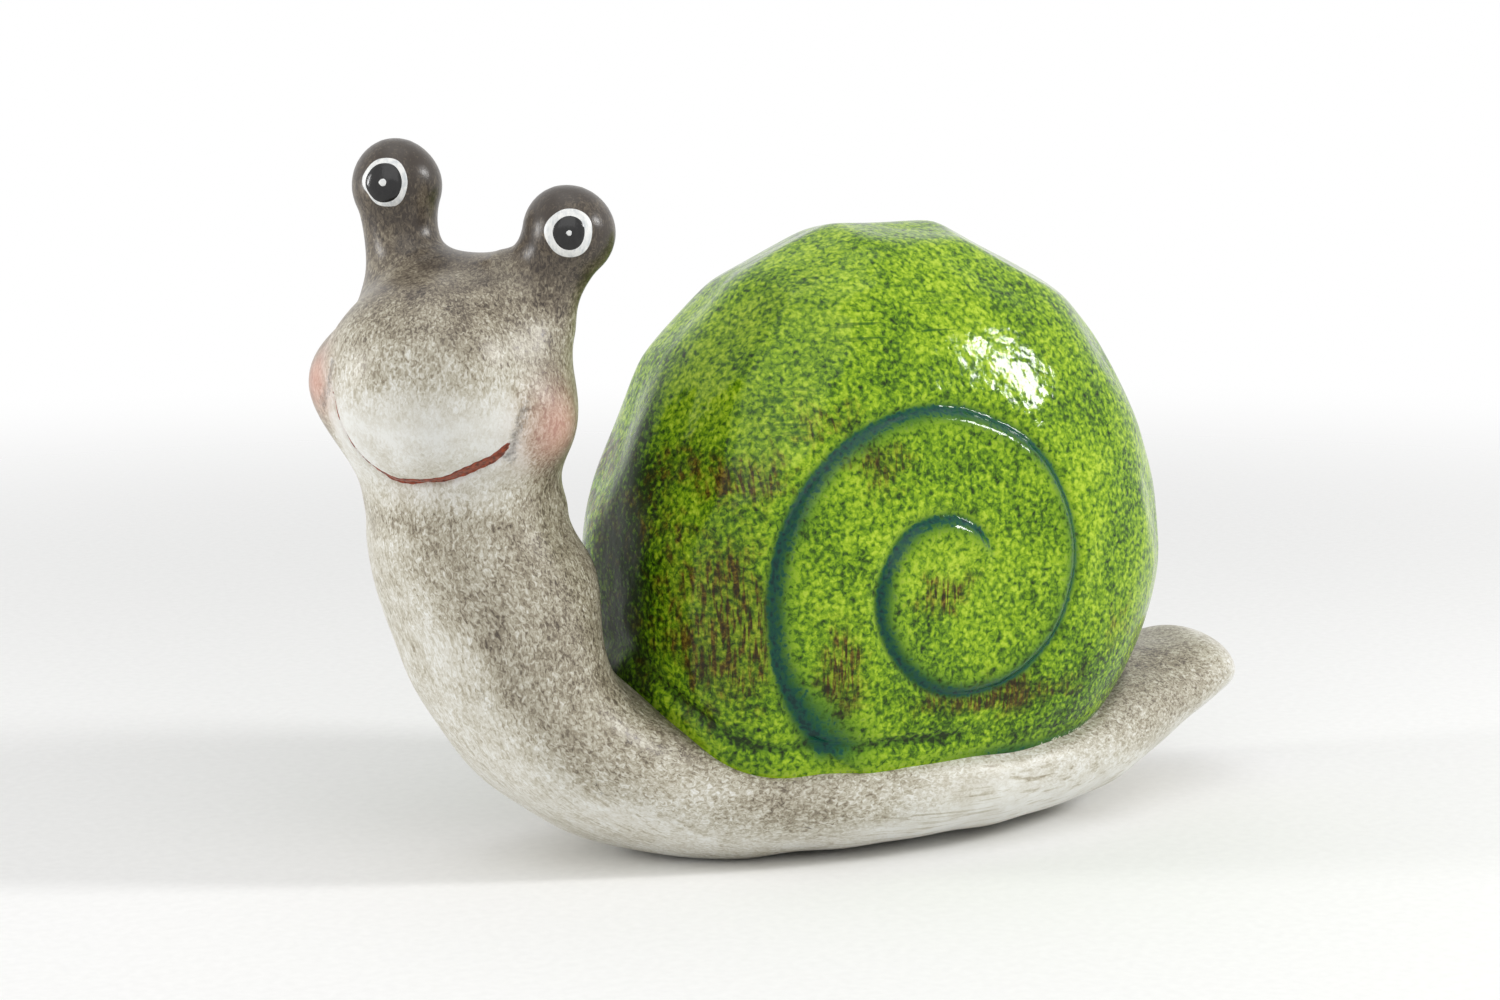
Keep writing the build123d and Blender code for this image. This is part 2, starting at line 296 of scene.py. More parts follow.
def whorlTree(sizes):
    tree = bpy.data.node_groups.new("whorlRelief", "GeometryNodeTree")
    tree.interface.new_socket("Geometry", in_out="INPUT", socket_type="NodeSocketGeometry")
    for name, value in sizes.items():
        kind = "NodeSocketVector" if isinstance(value, tuple) else "NodeSocketFloat"
        tree.interface.new_socket(name, in_out="INPUT", socket_type=kind)
    tree.interface.new_socket("Material", in_out="INPUT", socket_type="NodeSocketMaterial")
    tree.interface.new_socket("Geometry", in_out="OUTPUT", socket_type="NodeSocketGeometry")
    given = addNode(tree, "NodeGroupInput").outputs
    # spiral drawn flat, turned to its start and stood up on the shell's side
    spiral = addNode(tree, "GeometryNodeCurveSpiral", {"Resolution": 90, "Height": 0.0, "Reverse": False},
                     {"Rotations": given["Turns"], "Start Radius": given["Outer Radius"],
                      "End Radius": given["Inner Radius"]})
    startTurn = addNode(tree, "ShaderNodeCombineXYZ", None, {"Z": given["Start Angle"]})
    turned = addNode(tree, "GeometryNodeTransform", None, {"Geometry": spiral, "Rotation": startTurn})
    stood = addNode(tree, "GeometryNodeTransform", {"Rotation": (math.pi / 2, 0, 0)},
                    {"Geometry": turned, "Translation": given["Apex"]})
    factor = addNode(tree, "GeometryNodeSplineParameter").outputs["Factor"]
    marked = addNode(tree, "GeometryNodeStoreNamedAttribute", {"Name": "progress"},
                     {"Geometry": stood, "Value": factor}, data_type="FLOAT", domain="POINT")
    line = addNode(tree, "GeometryNodeCurveToMesh", None, {"Curve": marked})
    # each point of the shell, pushed flat and wobbled as a hand would cut it
    place = addNode(tree, "GeometryNodeInputPosition")
    split = addNode(tree, "ShaderNodeSeparateXYZ", None, {0: place})
    flat = addNode(tree, "ShaderNodeCombineXYZ", None, {"X": split.outputs["X"], "Z": split.outputs["Z"]})
    shake = addNode(tree, "ShaderNodeTexNoise", {"Scale": 1 / 0.030, "Detail": 1.0}, {"Vector": place})
    centred = addNode(tree, "ShaderNodeVectorMath", {1: (0.5, 0.5, 0.5)}, {0: shake.outputs["Color"]},
                      operation="SUBTRACT")
    scaled = addNode(tree, "ShaderNodeVectorMath", None, {0: centred, "Scale": given["Hand Wobble"]},
                     operation="SCALE")
    wobbled = addNode(tree, "ShaderNodeVectorMath", None, {0: flat, 1: scaled})
    near = addNode(tree, "GeometryNodeProximity", None, {"Geometry": line, "Sample Position": wobbled},
                   target_element="EDGES")
    away = near.outputs["Distance"]
    ownRadius = addNode(tree, "ShaderNodeVectorMath", None, {0: wobbled, 1: given["Apex"]},
                        operation="DISTANCE")
    lineRadius = addNode(tree, "ShaderNodeVectorMath", None, {0: near.outputs["Position"], 1: given["Apex"]},
                         operation="DISTANCE")
    outside = addNode(tree, "ShaderNodeMath", None,
                      {0: ownRadius.outputs["Value"], 1: lineRadius.outputs["Value"]},
                      operation="GREATER_THAN")
    sign = addNode(tree, "ShaderNodeMath", {1: 2.0, 2: -1.0}, {0: outside}, operation="MULTIPLY_ADD")
    signed = addNode(tree, "ShaderNodeMath", None, {0: away, 1: sign}, operation="MULTIPLY")
    nearest = addNode(tree, "GeometryNodeSampleNearest", None, {"Geometry": line, "Sample Position": wobbled},
                      domain="POINT")
    progressRead = addNode(tree, "GeometryNodeInputNamedAttribute", {"Name": "progress"}, data_type="FLOAT")
    progress = addNode(tree, "GeometryNodeSampleIndex", None,
                       {"Geometry": line, "Value": progressRead, "Index": nearest}, data_type="FLOAT",
                       domain="POINT")
    fade = addNode(tree, "ShaderNodeMapRange", {"From Min": 1.0, "From Max": 0.955}, {"Value": progress},
                   interpolation_type="SMOOTHSTEP")
    # the groove opens into a fan where it starts at the seam
    fan = addNode(tree, "ShaderNodeMapRange", {"From Min": 0.09, "From Max": 0.0},
                  {"Value": progress, "To Max": given["Fan"]}, interpolation_type="SMOOTHSTEP")
    opened = addNode(tree, "ShaderNodeMath", {1: 1.0}, {0: fan}, operation="ADD")
    fanned = addNode(tree, "ShaderNodeMath", None, {0: given["Groove Width"], 1: opened},
                     operation="MULTIPLY")
    grooveShare = addNode(tree, "ShaderNodeMath", None, {0: away, 1: fanned}, operation="DIVIDE")
    grooveSquare = addNode(tree, "ShaderNodeMath", None, {0: grooveShare, 1: grooveShare},
                           operation="MULTIPLY")
    grooveFall = addNode(tree, "ShaderNodeMath", {1: -1.0}, {0: grooveSquare}, operation="MULTIPLY")
    groove = addNode(tree, "ShaderNodeMath", None, {0: grooveFall}, operation="EXPONENT")
    cut = addNode(tree, "ShaderNodeMath", None, {0: groove, 1: given["Groove Depth"]}, operation="MULTIPLY")
    # the whorl swells up just inside the groove, with its step softened over 4 mm
    swellShare = addNode(tree, "ShaderNodeMath", None, {0: away, 1: given["Whorl Reach"]}, operation="DIVIDE")
    swellFall = addNode(tree, "ShaderNodeMath", {1: -1.0}, {0: swellShare}, operation="MULTIPLY")
    swell = addNode(tree, "ShaderNodeMath", None, {0: swellFall}, operation="EXPONENT")
    inside = addNode(tree, "ShaderNodeMapRange", {"From Min": 2.0 * mm, "From Max": -2.0 * mm},
                     {"Value": signed}, interpolation_type="SMOOTHSTEP")
    swellInside = addNode(tree, "ShaderNodeMath", None, {0: swell, 1: inside}, operation="MULTIPLY")
    raised = addNode(tree, "ShaderNodeMath", None, {0: swellInside, 1: given["Whorl Rise"]},
                     operation="MULTIPLY")
    lift = addNode(tree, "ShaderNodeMath", None, {0: raised, 1: cut}, operation="SUBTRACT")
    height = addNode(tree, "ShaderNodeMath", None, {0: lift, 1: fade}, operation="MULTIPLY")
    normal = addNode(tree, "GeometryNodeInputNormal")
    offset = addNode(tree, "ShaderNodeVectorMath", None, {0: normal, "Scale": height}, operation="SCALE")
    stored = addNode(tree, "GeometryNodeSetPosition", None, {"Geometry": given["Geometry"], "Offset": offset})
    for name, source in (("side", signed), ("fade", fade), ("fan", fan)):
        stored = addNode(tree, "GeometryNodeStoreNamedAttribute", {"Name": name},
                         {"Geometry": stored, "Value": source}, data_type="FLOAT", domain="POINT")
    real = addNode(tree, "GeometryNodeRealizeInstances", None, {"Geometry": stored})
    finished = addNode(tree, "GeometryNodeSetMaterial", None,
                       {"Geometry": real, "Material": given["Material"]})
    addNode(tree, "NodeGroupOutput", None, {"Geometry": finished})
    return tree


# body: foot, neck, head, muzzle and stalks as one skin of clay
bodyForm = {
    # x, z, climb, half width and half depth along the foot, from tail to neck
    "spine": [(133.5, 40.2, -38, 8, 5), (131, 39.2, -38, 15, 8.2), (122.5, 36, -38, 23, 12.4),
              (103, 32.2, -30, 29.5, 15.4), (81, 26.6, -18, 39.5, 20), (48, 21, -4, 52, 21.4),
              (8, 20, 0, 57, 23.2), (-32, 20.6, 6, 54, 24), (-71.5, 24.8, 25, 41.7, 23.8),
              (-105.9, 46.4, 50, 33.7, 24.2), (-118.7, 81, 75, 30.8, 30), (-125.5, 102, 90, 27.7, 27.7),
              (-125.5, 110, 90, 26, 26)],
    "headAt": (-125.5, 0.0, 102.8), "headTurn": 40.0,
    # up, forward, left, half depth and half width of the head
    "slices": [(-6, 0, 0, 26, 26), (0, 0, 0, 27.7, 27.7), (10, 1, -1.8, 28, 28), (20, 4, -1.8, 31, 33),
               (31, 6, -2.7, 33.5, 37), (42, 6, -4, 33, 36.9), (52, 4, -2, 29, 33), (61, 2, 0.2, 23, 26.3),
               (68.5, 1, 1.6, 15, 17), (72.5, 0, 4, 7, 8)],
    "muzzle": (16.0, -2.0, 39.0), "muzzleRadius": 30.0,
    # forward, left and up of each stalk's root and bulb, then the eye's yaw and pitch
    "stalks": {"right": ((2, -15.4, 50), (0, -20, 91), 9, 6.5),
               "left": ((2, 15.9, 48), (0, 31.2, 79.5), 24, 3)},
    "stalkJoint": 11.2, "stalkWaist": 10.4, "waistDrop": 11.5, "bulb": 12.8,
    # the skirt swells each stalk by so much, this far up from its root, over this reach
    "skirt": 3.0, "skirtAt": 8.0, "skirtReach": 7.0,
    # rolls of clay pressed into the corners between the stalks and the crown
    "webs": [(2.0, -7.5, 70.0), (2.0, 14.0, 70.0)], "webLong": 12.0, "webHigh": 4.6,
    "voxel": 1.15, "smoothRounds": 5, "fillRounds": 360, "fork": (2.0, 5.0, 70.0), "forkReach": (24.0, 40.0),
    # dents of the thumb, and the crease along the shell
    "thumbSize": 26, "thumbDepth": 0.35, "creaseDepth": 0.9, "creaseReach": 2.2,
}
headAt = np.array(bodyForm["headAt"])
headTurn = math.radians(bodyForm["headTurn"])
headForward = np.array((-math.cos(headTurn), -math.sin(headTurn), 0.0))
headLeft = np.array((math.sin(headTurn), -math.cos(headTurn), 0.0))
headUp = np.array((0.0, 0.0, 1.0))
headAxes = np.stack((headForward, headLeft, headUp))
spine = smoothRows(bodyForm["spine"], 130, [0, 1])
spineMiddle = np.stack((spine[:, 0], np.zeros(130), spine[:, 1]), axis=1)
spineClimb = np.radians(spine[:, 2])
spineUp = np.stack((np.sin(spineClimb), np.zeros(130), np.cos(spineClimb)), axis=1)
spineRun = np.concatenate(([0.0], np.cumsum(np.linalg.norm(np.diff(spineMiddle, axis=0), axis=1))))


def fromHead(points):
    return headAt + np.asarray(points, float) @ headAxes


def toHead(points):
    return (points - headAt) @ headAxes.T


def spunPoints(start, along, profile, sides):
    side = np.cross(along, (0.0, 1.0, 0.3))
    side /= np.linalg.norm(side)
    other = np.cross(along, side)
    rows = np.array(profile)
    count = len(rows)
    return ellipseRings(start + rows[:, :1] * along, np.tile(side, (count, 1)), np.tile(other, (count, 1)),
                        rows[:, 1], rows[:, 1], sides)


def bodyBlank():
    parts = []
    across = np.tile((0.0, 1.0, 0.0), (len(spine), 1))
    parts.append((ellipseRings(spineMiddle, across, spineUp, spine[:, 3], spine[:, 4], 96), 96))
    rows = smoothRows(bodyForm["slices"], 70, [0])
    parts.append((ellipseRings(fromHead(rows[:, [1, 2, 0]]), np.tile(headForward, (70, 1)),
                               np.tile(headLeft, (70, 1)), rows[:, 3], rows[:, 4], 96), 96))
    turn = np.linspace(0.02, math.pi - 0.02, 60)
    ball = np.stack((-np.cos(turn), np.sin(turn)), axis=1) * bodyForm["muzzleRadius"]
    parts.append((spunPoints(fromHead(bodyForm["muzzle"]), headUp, ball, 80), 80))
    for root, bulb, yaw, pitch in bodyForm["stalks"].values():
        start, end = fromHead(root), fromHead(bulb)
        length = np.linalg.norm(end - start)
        r = bodyForm["bulb"]
        shoulder = math.radians(-30)
        neckRows = [(-4, bodyForm["stalkJoint"]), (10, bodyForm["stalkJoint"]),
                    (length - bodyForm["waistDrop"], bodyForm["stalkWaist"]),
                    (length + r * math.sin(shoulder), r * math.cos(shoulder))]
        neck = smoothRows(neckRows, 50, [0])
        skirt = np.exp(-((neck[:, 0] - bodyForm["skirtAt"]) / bodyForm["skirtReach"]) ** 2)
        neck[:, 1] += bodyForm["skirt"] * skirt
        capTurns = np.linspace(shoulder, math.pi / 2 - 0.03, 26)
        cap = [(length + r * math.sin(a), r * math.cos(a)) for a in capTurns]
        parts.append((spunPoints(start, (end - start) / length, np.concatenate((neck[:-1], cap)), 64), 64))
    turn = np.linspace(0.05, math.pi - 0.05, 24)
    for place in bodyForm["webs"]:
        roll = np.stack((-bodyForm["webLong"] * np.cos(turn), bodyForm["webHigh"] * np.sin(turn)), axis=1)
        parts.append((spunPoints(fromHead(place), headForward, roll, 32), 32))
    points, faces, start = [], [], 0
    for rings, sides in parts:
        points.append(rings)
        faces.extend(tubeFaces(len(rings) // sides, sides, start))
        start += len(rings)
    return np.concatenate(points), faces


body = makePiece("body_glazed", *bodyBlank())
remesh = body.modifiers.new("oneSkin", "REMESH")
remesh.mode = "VOXEL"
remesh.voxel_size = bodyForm["voxel"] * mm
bodyMesh = bpy.data.meshes.new_from_object(body.evaluated_get(bpy.context.evaluated_depsgraph_get()))
body.modifiers.clear()
body.data = bodyMesh
bodyMesh.name = "body_glazed"
bodyMesh.polygons.foreach_set("use_smooth", [True] * len(bodyMesh.polygons))
print("body skin", len(bodyMesh.polygons), "faces")

# smoothing, and clay filled in between the stalks: points move out of hollows, never into swellings
points = readPoints(bodyMesh)
bodyEdges = np.empty(len(bodyMesh.edges) * 2, dtype=np.int64)
bodyMesh.edges.foreach_get("vertices", bodyEdges)
bodyEdges = bodyEdges.reshape(-1, 2)
for _ in range(bodyForm["smoothRounds"]):
    points += 0.5 * (neighbourMean(points, bodyEdges) - points)
forkGap = np.linalg.norm(toHead(points) - np.array(bodyForm["fork"]), axis=1)
fillShare = 1 - ease(*bodyForm["forkReach"], forkGap)
fillEdges = bodyEdges[(fillShare[bodyEdges] > 0).any(axis=1)]
for count in range(bodyForm["fillRounds"]):
    if count % 10 == 0:
        writePoints(bodyMesh, points)
        normals = readNormals(bodyMesh)
    step = ((neighbourMean(points, fillEdges) - points) * normals).sum(axis=1)
    fill = np.where(fillShare > 0, 0.9 * fillShare * np.maximum(step, 0), 0)
    points += normals * fill[:, None]
points[:, 2] = np.maximum(points[:, 2], 0)

faceMarks = {
    # left and up in the head's frame, from the snail's right corner of the mouth to its left
    "mouth": [(-21.5, 38), (-20.6, 34.5), (-19.4, 29.7), (-17.8, 25.6), (-15.5, 21.1), (-12.8, 17.8),
              (-10.2, 15.9), (-5.7, 13.8), (0.4, 13.9), (5.8, 14.3), (11.1, 16), (16.2, 18.4), (20.4, 20.6),
              (24.6, 24.7)],
    "mouthDepth": 2.2, "mouthHalf": 1.3, "overhang": 1.3, "overhangReach": 7.0, "hub": (-1.0, 40.0),
    # how hard the crease is pressed along the mouth
    "mouthPress": [(0, 0.5), (0.2, 0.8), (0.45, 1.0), (0.8, 0.9), (1, 0.6)],
    # forward, left and up, size and rise of each cheek
    "cheeks": [((14.0, 31.6, 27.6), 10.0, 2.0), ((29.7, -29.7, 39.8), 9.0, 0.8)],
    # painted shade at the corners of the mouth, sharp against the muzzle and soft outwards
    "cornerShades": [[(24.7, 28, 34.2), (26, 26.5, 29.9), (25.7, 25.2, 25.5), (24, 22.9, 20)],
                [(38.5, -20.9, 45), (36.5, -23.9, 38.2), (32.4, -26.9, 33.5)]],
}
mouthLine = smoothRows(faceMarks["mouth"], 90, [0, 1])

# the mouth is a crease with the muzzle hanging over it
onHead = toHead(points)
ahead = ease(10, 20, onHead[:, 0]) * ease(-8, 2, onHead[:, 2])
mouthGap, mouthAlong = lineDistance(onHead[:, 1:], mouthLine)
evenly = np.linspace(0, 1, len(mouthLine))
nearestMouth = np.stack([np.interp(mouthAlong, evenly, mouthLine[:, i]) for i in (0, 1)], axis=1)
hub = np.array(faceMarks["hub"])
below = np.linalg.norm(onHead[:, 1:] - hub, axis=1) > np.linalg.norm(nearestMouth - hub, axis=1)
strength = np.interp(mouthAlong, *np.array(faceMarks["mouthPress"]).T) * ahead
inward = -faceMarks["mouthDepth"] * np.exp(-(mouthGap / faceMarks["mouthHalf"]) ** 2)
overhang = faceMarks["overhang"] * np.exp(-(mouthGap / faceMarks["overhangReach"]) ** 2)
inward += np.where(below, -overhang, overhang)
points += (inward * strength)[:, None] * headForward
writePoints(bodyMesh, points)
normals = readNormals(bodyMesh)
onHead = toHead(points)
for middle, size, rise in faceMarks["cheeks"]:
    gap = np.linalg.norm(onHead - np.array(middle), axis=1)
    points += normals * (rise * np.exp(-(gap / size) ** 2))[:, None]

# thumb-worked clay, and the crease where the skin meets the shell
points += normals * (wander(points, bodyForm["thumbSize"], 11) * bodyForm["thumbDepth"])[:, None]
fromShell = points - shellCentre
shellGap = np.maximum(np.linalg.norm(fromShell, axis=1) * (1 - shellReach(fromShell)), 0)
points -= normals * (bodyForm["creaseDepth"] * np.exp(-(shellGap / bodyForm["creaseReach"]) ** 2))[:, None]
points[:, 2] = np.maximum(points[:, 2], 0)
writePoints(bodyMesh, points)
print("body sculpted")

# where the brush went: tone runs from bare white at 0 to brown at 1
bodyWash = {
    # tone of the sides, how much darker the back is, tone of the rubbed belly, and where it starts by climb
    "ground": 0.53, "backRise": 0.14, "bare": 0.25, "bareFrom": [(-40, 0.3), (0, 0.25), (50, 0.5), (90, 0.8)],
    # tone of the face by height over the neck joint
    "face": [(-6, 0.53), (2, 0.47), (7, 0.3), (15, 0.17), (30, 0.07), (37, 0.2), (44, 0.4), (52, 0.52),
             (62, 0.7), (72, 0.84)],
    # x, z, half length, half height and change of tone of the patches rubbed on the foot
    "rubs": [(20, 16, 75, 18, -0.2), (-85, 24, 18, 9, -0.2), (14, 20, 30, 12, -0.26), (-46, 16, 17, 11, 0.1),
             (62, 22, 22, 8, -0.16), (131, 42, 14, 16, -0.34)],
    # least tone beside the face, tone along a stalk from root to bulb, and strength of the flecks by tone
    "besideFace": 0.58, "stalk": [(0.3, 0.6), (0.5, 0.78), (0.75, 0.9), (1.0, 1.0)],
    "flecks": [(0.03, 0.3), (0.1, 0.6), (0.35, 1.6), (0.65, 1.6), (0.85, 1.0), (1.0, 0.8)],
    # strength and reach of the painted shade along the shell seam, near the ground and at the mouth corners
    "seamShade": 1.0, "seamReach": 4.5, "groundShade": 0.5, "cornerShade": 0.75, "cornerShadeReach": 3.4,
}
onHead = toHead(points)
nearest, closest = np.zeros(len(points), dtype=int), np.full(len(points), 1e9)
for i, middle in enumerate(spineMiddle):
    gap = (points[:, 0] - middle[0]) ** 2 + (points[:, 2] - middle[2]) ** 2
    nearest, closest = np.where(gap < closest, i, nearest), np.minimum(gap, closest)
fromSpine = points - spineMiddle[nearest]
height = (fromSpine * spineUp[nearest]).sum(axis=1)
spineWay = np.cross(spineUp, (0.0, 1.0, 0.0))
run = spineRun[nearest] + (fromSpine * spineWay[nearest]).sum(axis=1)
straight = np.stack((run, points[:, 1], height), axis=1)
headArea = ease(-8, 6, onHead[:, 2]) * (1 - ease(60, 75, np.linalg.norm(onHead[:, :2], axis=1)))
belly = -height / spine[nearest, 4]
bareFrom = np.interp(spine[nearest, 2], *np.array(bodyWash["bareFrom"]).T)
bodyTone = bodyWash["ground"] + bodyWash["backRise"] * np.clip(-belly, 0, 1)
bodyTone += (bodyWash["bare"] - bodyTone) * ease(-0.2, 0.2, belly - bareFrom)
for x, z, long, high, change in bodyWash["rubs"]:
    bodyTone += change * np.exp(-((points[:, 0] - x) / long) ** 2 - ((points[:, 2] - z) / high) ** 2)
frontFace = ease(6, 22, onHead[:, 0]) * (1 - ease(24, 31, np.abs(onHead[:, 1] - 1)))
headTone = np.interp(onHead[:, 2], *np.array(bodyWash["face"]).T)
headTone = np.maximum(headTone, bodyWash["besideFace"]) * (1 - frontFace) + headTone * frontFace
tone = bodyTone * (1 - headArea) + headTone * headArea
for root, bulb, yaw, pitch in bodyForm["stalks"].values():
    gap, place = lineDistance(onHead, np.array((root, bulb), float))
    stalkTone = np.interp(place, *np.array(bodyWash["stalk"]).T)
    onStalk = (1 - ease(13, 19, gap)) * ease(0.3, 0.5, place)
    tone = np.maximum(tone, tone * (1 - onStalk) + stalkTone * onStalk)
tone = np.clip(tone, 0.03, 1)
# painted shade: darker along the seam with the shell, near the ground, and at the corners of the mouth
paintedShade = bodyWash["seamShade"] * np.exp(-shellGap / bodyWash["seamReach"]) * ease(26, 40, points[:, 2])
paintedShade = np.maximum(paintedShade, bodyWash["groundShade"] * (1 - ease(0.5, 4.0, points[:, 2])))
for line in faceMarks["cornerShades"]:
    line = np.array(line, float)
    gap, place = lineDistance(onHead, line)
    sharpSide = np.interp(place, np.linspace(0, 1, len(line)), line[:, 1])
    outwards = (onHead[:, 1] - sharpSide) * np.sign(line[0, 1])
    reach = np.where(outwards < 0, 2.6 * gap, gap) / bodyWash["cornerShadeReach"]
    paintedShade = np.maximum(paintedShade, bodyWash["cornerShade"] * np.exp(-reach ** 2))
blush = np.zeros(len(points))
for middle, size, rise in faceMarks["cheeks"]:
    blush = np.maximum(blush, np.exp(-(np.linalg.norm(onHead - np.array(middle), axis=1) / size) ** 2))
flecks = np.interp(tone, *np.array(bodyWash["flecks"]).T)
wiped = (1 - ease(0.12, 0.38, tone)) * (1 - headArea)
for name, numbers in (("tone", tone), ("flecks", flecks), ("wiped", wiped), ("paintedShade", paintedShade), ("blush", blush)):
    storeNumbers(bodyMesh, name, numbers)
storeVectors(bodyMesh, "straight", straight)
bodyTree = BVHTree.FromPolygons([tuple(p) for p in points], [tuple(p.vertices) for p in bodyMesh.polygons])
print("body washed")

# stained ivory glaze: satin stoneware glaze under a brown wash that was stippled on and wiped back, so that
# fine pale and brown flecks cover it, with bare white and a few long strokes where it was rubbed
def ivoryGlaze():
    made, tree = newMaterial("stainedIvoryGlaze")
    coords = addNode(tree, "ShaderNodeTexCoord").outputs["Object"]
    along = addNode(tree, "ShaderNodeAttribute", attribute_name="straight").outputs["Vector"]
    read = {name: addNode(tree, "ShaderNodeAttribute", attribute_name=name).outputs["Fac"]
            for name in ("tone", "flecks", "wiped", "paintedShade", "blush")}
    # flecks about 0.9 mm wide and 1.5 mm long
    fleckSpace = addNode(tree, "ShaderNodeMapping", {"Scale": (1 / 1.5, 1 / 0.9, 1 / 0.9)}, {0: along})
    flecks = addNode(tree, "ShaderNodeTexNoise",
                     {"Scale": 1.0, "Detail": 3.0, "Roughness": 0.6, "Distortion": 0.9},
                     {"Vector": fleckSpace})
    fleckCentred = addNode(tree, "ShaderNodeMath", {1: 0.5}, {0: flecks}, operation="SUBTRACT")
    flecked = addNode(tree, "ShaderNodeMath", None, {0: fleckCentred, 1: read["flecks"], 2: read["tone"]},
                      operation="MULTIPLY_ADD")
    # haze about 6 mm across, and clouds of wash about 16 mm across and twice as long
    haze = addNode(tree, "ShaderNodeTexNoise", {"Scale": 1000 / 6, "Detail": 2.0}, {"Vector": coords})
    hazeCentred = addNode(tree, "ShaderNodeMath", {1: 0.5}, {0: haze}, operation="SUBTRACT")
    hazed = addNode(tree, "ShaderNodeMath", {1: 0.4}, {0: hazeCentred, 2: flecked}, operation="MULTIPLY_ADD")
    washSpace = addNode(tree, "ShaderNodeMapping", {"Scale": (1 / 34, 1 / 16, 1 / 16)}, {0: along})
    wash = addNode(tree, "ShaderNodeTexNoise", {"Scale": 1.0, "Detail": 4.0, "Roughness": 0.6},
                   {"Vector": washSpace})
    washCentred = addNode(tree, "ShaderNodeMath", {1: 0.5}, {0: wash}, operation="SUBTRACT")
    washed = addNode(tree, "ShaderNodeMath", {1: 0.45}, {0: washCentred, 2: hazed}, operation="MULTIPLY_ADD")
    # wiping strokes about 1.3 mm wide and 30 mm long on the bare places
    strokeSpace = addNode(tree, "ShaderNodeMapping", {"Scale": (1 / 30, 1 / 1.3, 1 / 1.3)}, {0: along})
    strokes = addNode(tree, "ShaderNodeTexNoise",
                      {"Scale": 1.0, "Detail": 3.0, "Roughness": 0.6, "Distortion": 0.3},
                      {"Vector": strokeSpace})
    strokeMask = addNode(tree, "ShaderNodeMapRange", {"From Min": 0.52, "From Max": 0.68, "To Max": 0.3},
                         {"Value": strokes}, interpolation_type="SMOOTHSTEP")
    stroked = addNode(tree, "ShaderNodeMath", None, {0: strokeMask, 1: read["wiped"], 2: washed},
                      operation="MULTIPLY_ADD", use_clamp=True)
    stained = addNode(tree, "ShaderNodeValToRGB", None, {"Fac": stroked},
                      stops=[(0.0, "#e6e6e1"), (0.2, "#d4d1c6"), (0.4, "#bab4a2"), (0.6, "#968d7a"),
                             (0.8, "#6a6052"), (1.0, "#3f3730")])
    blushed = addNode(tree, "ShaderNodeMath", {1: 0.62}, {0: read["blush"]}, operation="MULTIPLY")
    rosy = addNode(tree, "ShaderNodeMix", {7: linear("#d99f90")}, {0: blushed, 6: stained}, data_type="RGBA")
    # painted shade sits in the seam crease, near the ground and at the mouth corners, and breaks up into
    # specks about 1.4 mm across
    specks = addNode(tree, "ShaderNodeTexNoise", {"Scale": 1000 / 1.4, "Detail": 3.0, "Roughness": 0.7},
                     {"Vector": coords})
    paintedShadeLow = addNode(tree, "ShaderNodeMath", {0: 0.84}, {1: read["paintedShade"]}, operation="SUBTRACT")
    paintedShadeMask = addNode(tree, "ShaderNodeMapRange", None, {"Value": specks, "From Min": paintedShadeLow},
                       interpolation_type="SMOOTHSTEP")
    shadedColour = addNode(tree, "ShaderNodeMix", {7: linear("#38312b")}, {0: paintedShadeMask, 6: rosy.outputs[2]},
                    data_type="RGBA")
    # hair cracks in the glaze: the thin line where a slow pattern crosses its middle, here and there
    crackSpace = addNode(tree, "ShaderNodeMapping", {"Scale": (1 / 16, 1 / 7, 1 / 7)}, {0: along})
    crack = addNode(tree, "ShaderNodeTexNoise", {"Scale": 1.0, "Detail": 2.0, "Distortion": 0.6},
                    {"Vector": crackSpace})
    crackGap = addNode(tree, "ShaderNodeMath", {1: 0.5, 2: 0.006}, {0: crack}, operation="COMPARE")
    crackPlace = addNode(tree, "ShaderNodeTexNoise", {"Scale": 1000 / 13, "Detail": 1.0}, {"Vector": coords})
    crackHere = addNode(tree, "ShaderNodeMapRange", {"From Min": 0.64, "From Max": 0.7, "To Max": 0.65},
                        {"Value": crackPlace})
    crackTone = addNode(tree, "ShaderNodeMapRange", {"From Min": 0.2, "From Max": 0.4},
                        {"Value": read["tone"]})
    crackPart = addNode(tree, "ShaderNodeMath", None, {0: crackHere, 1: crackTone}, operation="MULTIPLY")
    crackMask = addNode(tree, "ShaderNodeMath", None, {0: crackGap, 1: crackPart}, operation="MULTIPLY")
    cracked = addNode(tree, "ShaderNodeMix", {7: linear("#453d34")}, {0: crackMask, 6: shadedColour.outputs[2]},
                      data_type="RGBA")
    relief = addNode(tree, "ShaderNodeMath", {1: 0.5}, {0: flecks, 2: wash}, operation="MULTIPLY_ADD")
    bump = addNode(tree, "ShaderNodeBump", {"Strength": 0.4, "Distance": 0.0003}, {"Height": relief})
    gloss = addNode(tree, "ShaderNodeMapRange", {"To Min": 0.42, "To Max": 0.3}, {"Value": stroked})
    shader = addNode(tree, "ShaderNodeBsdfPrincipled", {"IOR": 1.45},
                     {"Base Color": cracked.outputs[2], "Roughness": gloss, "Normal": bump})
    addNode(tree, "ShaderNodeOutputMaterial", None, {"Surface": shader})
    return made


